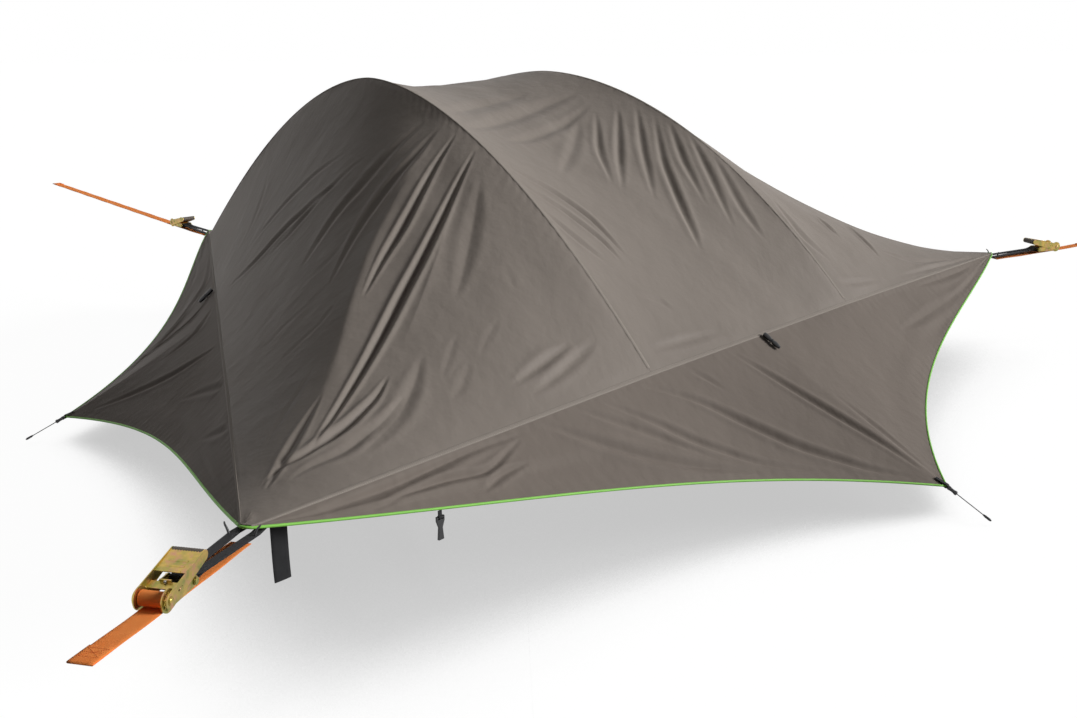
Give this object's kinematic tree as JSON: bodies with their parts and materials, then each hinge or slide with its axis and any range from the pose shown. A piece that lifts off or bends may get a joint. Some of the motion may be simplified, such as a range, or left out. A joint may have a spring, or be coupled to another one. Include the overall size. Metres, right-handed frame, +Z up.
{
  "type": "tree tent",
  "caption": "Three-sided tree tent slung on ratchet straps, with a pointed rainfly over two pole arches, a mesh inner tent and a flat webbed floor with a hatch.",
  "frame": {"origin": "middle of the floor's plane of webbing, midway between the three corners", "axes": "+Z up, front side with the door towards -Y, rear corner towards +Y"},
  "size_m": [5.0942, 6.2636, 1.2961],
  "materials": {
    "fly_cloth": "matte woven, coated",
    "piping_green": "matte",
    "pole_aluminium": "satin",
    "black_plastic": "matte",
    "black_webbing": "woven",
    "orange_webbing": "woven",
    "floor_cloth": "matte",
    "mesh_cloth": "fine mesh",
    "yellow_zinc": "yellow zinc plated",
    "guy_grey": "braided"
  },
  "bodies": {
    "tent": {"fly_panel_left": "fly_cloth", "fly_panel_middle": "fly_cloth", "fly_panel_right": "fly_cloth", "fly_wing_front": "fly_cloth", "fly_wing_left": "fly_cloth", "fly_wing_right": "fly_cloth", "fly_piping": "piping_green", "pole_left": "pole_aluminium", "pole_right": "pole_aluminium", "pole_socket_front_left": "black_plastic", "pole_socket_front_right": "black_plastic", "pole_socket_rear_left": "black_plastic", "pole_socket_rear_right": "black_plastic", "inner_tent": "mesh_cloth", "floor_panel_front": "floor_cloth", "guy_end_front": "black_plastic", "guy_cord_front": "guy_grey", "toggle_front": "black_plastic", "floor_panel_left": "floor_cloth", "guy_end_left": "black_plastic", "guy_cord_left": "guy_grey", "toggle_left": "black_plastic", "floor_panel_right": "floor_cloth", "guy_end_right": "black_plastic", "guy_cord_right": "guy_grey", "toggle_right": "black_plastic", "floor_web": "black_webbing", "perimeter_web": "black_webbing", "corner_sling_left": "black_webbing", "tree_strap_left": "orange_webbing", "ratchet_frame_left": "yellow_zinc", "corner_sling_right": "black_webbing", "tree_strap_right": "orange_webbing", "ratchet_frame_right": "yellow_zinc", "corner_sling_rear": "black_webbing", "tree_strap_rear": "orange_webbing", "ratchet_frame_rear": "yellow_zinc", "hanging_strip": "black_webbing", "edge_tab": "black_webbing"},
    "spool_left": {"ratchet_spool_left": "yellow_zinc", "strap_winding_left": "orange_webbing"},
    "handle_left": {"ratchet_handle_left": "yellow_zinc"},
    "drive_pawl_left": {"drive_pawl_left": "yellow_zinc"},
    "lock_pawl_left": {"lock_pawl_left": "yellow_zinc"},
    "spool_right": {"ratchet_spool_right": "yellow_zinc", "strap_winding_right": "orange_webbing"},
    "handle_right": {"ratchet_handle_right": "yellow_zinc"},
    "drive_pawl_right": {"drive_pawl_right": "yellow_zinc"},
    "lock_pawl_right": {"lock_pawl_right": "yellow_zinc"},
    "spool_rear": {"ratchet_spool_rear": "yellow_zinc", "strap_winding_rear": "orange_webbing"},
    "handle_rear": {"ratchet_handle_rear": "yellow_zinc"},
    "drive_pawl_rear": {"drive_pawl_rear": "yellow_zinc"},
    "lock_pawl_rear": {"lock_pawl_rear": "yellow_zinc"},
    "adjuster_front": {"guy_adjuster_front": "black_plastic"},
    "adjuster_left": {"guy_adjuster_left": "black_plastic"},
    "adjuster_right": {"guy_adjuster_right": "black_plastic"},
    "hatch": {"hatch_flap": "floor_cloth"},
    "clip": {"edge_clip": "black_plastic"}
  },
  "joints": [
    {"name": "spool_turn_left", "type": "hinge", "parent": "tent", "child": "spool_left", "pos_m": [-2.34333, -1.35292, 0.03287], "axis": [0.5, -0.866, 0], "continuous": true},
    {"name": "handle_swing_left", "type": "hinge", "parent": "tent", "child": "handle_left", "pos_m": [-2.34333, -1.35292, 0.03287], "axis": [0.5, -0.866, 0], "range_deg": [0, 150]},
    {"name": "drive_pawl_slide_left", "type": "slide", "parent": "handle_left", "child": "drive_pawl_left", "axis": [0.8421, 0.4862, 0.2334], "range_m": [-0.0036, 0.001], "stiffness_N_per_m": 2000},
    {"name": "lock_pawl_slide_left", "type": "slide", "parent": "tent", "child": "lock_pawl_left", "axis": [0.8304, 0.4794, -0.284], "range_m": [-0.0036, 0.001], "stiffness_N_per_m": 2000},
    {"name": "spool_turn_right", "type": "hinge", "parent": "tent", "child": "spool_right", "pos_m": [2.34333, -1.35292, 0.03287], "axis": [0.5, 0.866, 0], "continuous": true},
    {"name": "handle_swing_right", "type": "hinge", "parent": "tent", "child": "handle_right", "pos_m": [2.34333, -1.35292, 0.03287], "axis": [0.5, 0.866, 0], "range_deg": [0, 150]},
    {"name": "drive_pawl_slide_right", "type": "slide", "parent": "handle_right", "child": "drive_pawl_right", "axis": [-0.8421, 0.4862, 0.2334], "range_m": [-0.0036, 0.001], "stiffness_N_per_m": 2000},
    {"name": "lock_pawl_slide_right", "type": "slide", "parent": "tent", "child": "lock_pawl_right", "axis": [-0.8304, 0.4794, -0.284], "range_m": [-0.0036, 0.001], "stiffness_N_per_m": 2000},
    {"name": "spool_turn_rear", "type": "hinge", "parent": "tent", "child": "spool_rear", "pos_m": [0, 2.70584, 0.03287], "axis": [-1, 0, 0], "continuous": true},
    {"name": "handle_swing_rear", "type": "hinge", "parent": "tent", "child": "handle_rear", "pos_m": [0, 2.70584, 0.03287], "axis": [-1, 0, 0], "range_deg": [0, 150]},
    {"name": "drive_pawl_slide_rear", "type": "slide", "parent": "handle_rear", "child": "drive_pawl_rear", "axis": [0, -0.9724, 0.2334], "range_m": [-0.0036, 0.001], "stiffness_N_per_m": 2000},
    {"name": "lock_pawl_slide_rear", "type": "slide", "parent": "tent", "child": "lock_pawl_rear", "axis": [0, -0.9588, -0.284], "range_m": [-0.0036, 0.001], "stiffness_N_per_m": 2000},
    {"name": "adjuster_slide_front", "type": "slide", "parent": "tent", "child": "adjuster_front", "axis": [0, -0.891, -0.454], "range_m": [0, 0.04]},
    {"name": "adjuster_slide_left", "type": "slide", "parent": "tent", "child": "adjuster_left", "axis": [-0.7716, 0.4455, -0.454], "range_m": [0, 0.04]},
    {"name": "adjuster_slide_right", "type": "slide", "parent": "tent", "child": "adjuster_right", "axis": [0.7716, 0.4455, -0.454], "range_m": [0, 0.04]},
    {"name": "hatch_fold", "type": "hinge", "parent": "tent", "child": "hatch", "pos_m": [0, -0.1597, -0.001], "axis": [-1, 0, 0], "range_deg": [0, 95]},
    {"name": "clip_swing", "type": "hinge", "parent": "tent", "child": "clip", "pos_m": [-1.58302, -1.28791, -0.08094], "axis": [1, 0, 0], "range_deg": [-60, 60]}
  ]
}
